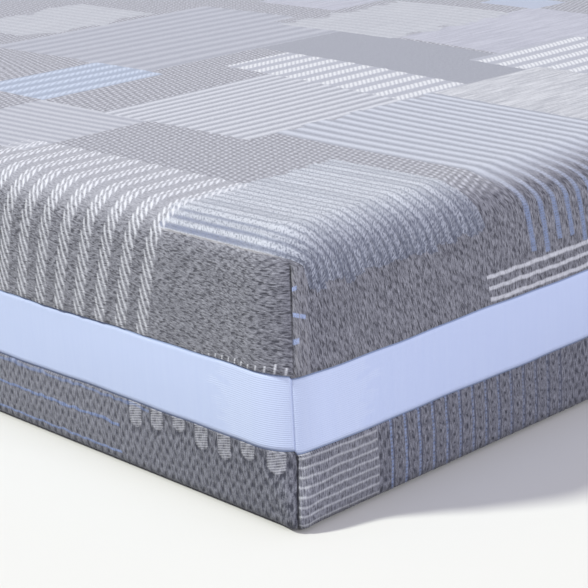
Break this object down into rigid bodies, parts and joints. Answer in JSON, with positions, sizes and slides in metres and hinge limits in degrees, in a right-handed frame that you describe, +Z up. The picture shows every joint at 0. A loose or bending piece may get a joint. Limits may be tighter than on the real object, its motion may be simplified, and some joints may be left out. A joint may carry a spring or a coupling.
{
  "type": "mattress",
  "caption": "Rectangular foam mattress with rounded edges, a two-tone knitted cover round a side band, foam layers inside and a zip across the head end.",
  "frame": {"origin": "centre of the underside, on the surface that the mattress lies on", "axes": "+X across the bed, +Y along it towards the head end with the zip, +Z up out of the sleeping surface"},
  "size_m": [1.524, 2.0351, 0.254],
  "materials": {
    "knit_upper": "heather grey jacquard knit with raised white and pale blue yarns",
    "band_mesh": "pale blue spacer mesh with a fine rib",
    "knit_lower": "darker heather grey jacquard knit",
    "seam_thread": "overlocked seam allowance",
    "sleeve_knit": "fine white knitted sleeve",
    "memory_foam": "open-cell viscoelastic foam",
    "transition_foam": "open-cell foam",
    "support_foam": "firm open-cell foam",
    "zip_tape": "woven polyester tape",
    "zip_chain": "nylon chain",
    "zip_metal": "plated zinc"
  },
  "bodies": {
    "mattress": {"upper_cover": "knit_upper", "side_band": "band_mesh", "lower_cover": "knit_lower", "upper_corner_seams": "seam_thread", "band_corner_seams": "seam_thread", "lower_corner_seams": "seam_thread", "upper_band_seam": "seam_thread", "lower_band_seam": "seam_thread", "fire_sleeve": "sleeve_knit", "memory_foam": "memory_foam", "transition_foam": "transition_foam", "support_core": "support_foam", "zip_tape_upper": "zip_tape", "zip_tape_lower": "zip_tape", "zip_coil_upper": "zip_chain", "zip_coil_lower": "zip_chain", "zip_top_stops": "zip_metal", "zip_bottom_stop": "zip_metal"},
    "slider": {"zip_slider": "zip_metal"},
    "pull": {"zip_pull": "zip_metal"}
  },
  "joints": [
    {"name": "zip_slide", "type": "slide", "parent": "mattress", "child": "slider", "axis": [-1, 0, 0], "range_m": [0, 1.3754]},
    {"name": "pull_turn", "type": "hinge", "parent": "slider", "child": "pull", "pos_m": [0.6877, 1.0172, 0.068], "axis": [0, 0, -1], "range_deg": [0, 180]}
  ]
}
